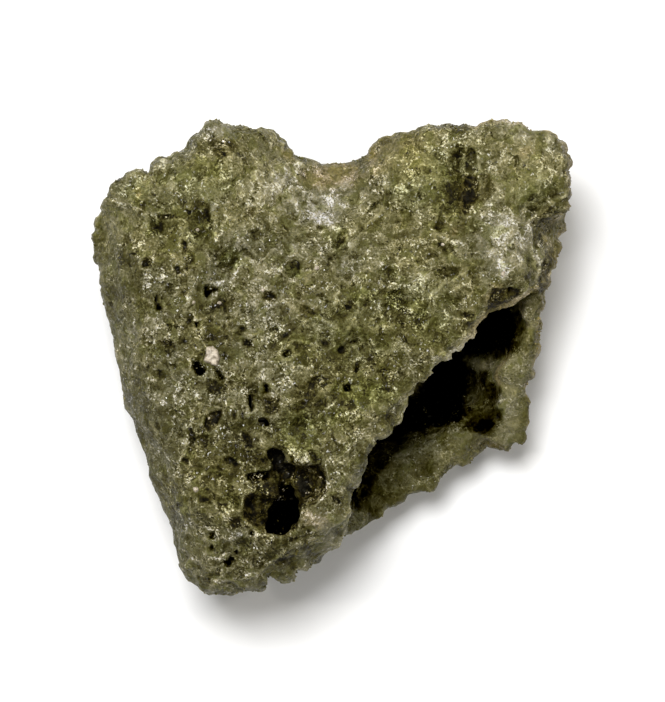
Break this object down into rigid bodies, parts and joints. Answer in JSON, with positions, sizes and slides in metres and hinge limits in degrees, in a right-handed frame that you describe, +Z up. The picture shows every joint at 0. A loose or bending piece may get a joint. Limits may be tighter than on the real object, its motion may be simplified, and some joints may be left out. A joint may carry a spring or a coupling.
{
  "type": "trinitite fragment",
  "caption": "Hollow piece of olive-green blast glass with a notched back edge, a dark cross-shaped vug in its lid and one corner broken open; rests on a small flat spot.",
  "frame": {"origin": "on the surface it rests on, under the middle of its box", "axes": "+Z up through the lid; +Y to the notched back edge; +X to the right seen from above, so the broken corner is at +X -Y"},
  "size_m": [0.0266, 0.0262, 0.0124],
  "materials": {
    "green_glass": "rough, sandy olive-green glass with bright glints"
  },
  "bodies": {
    "root": {"trinitite": "green_glass"}
  },
  "joints": []
}
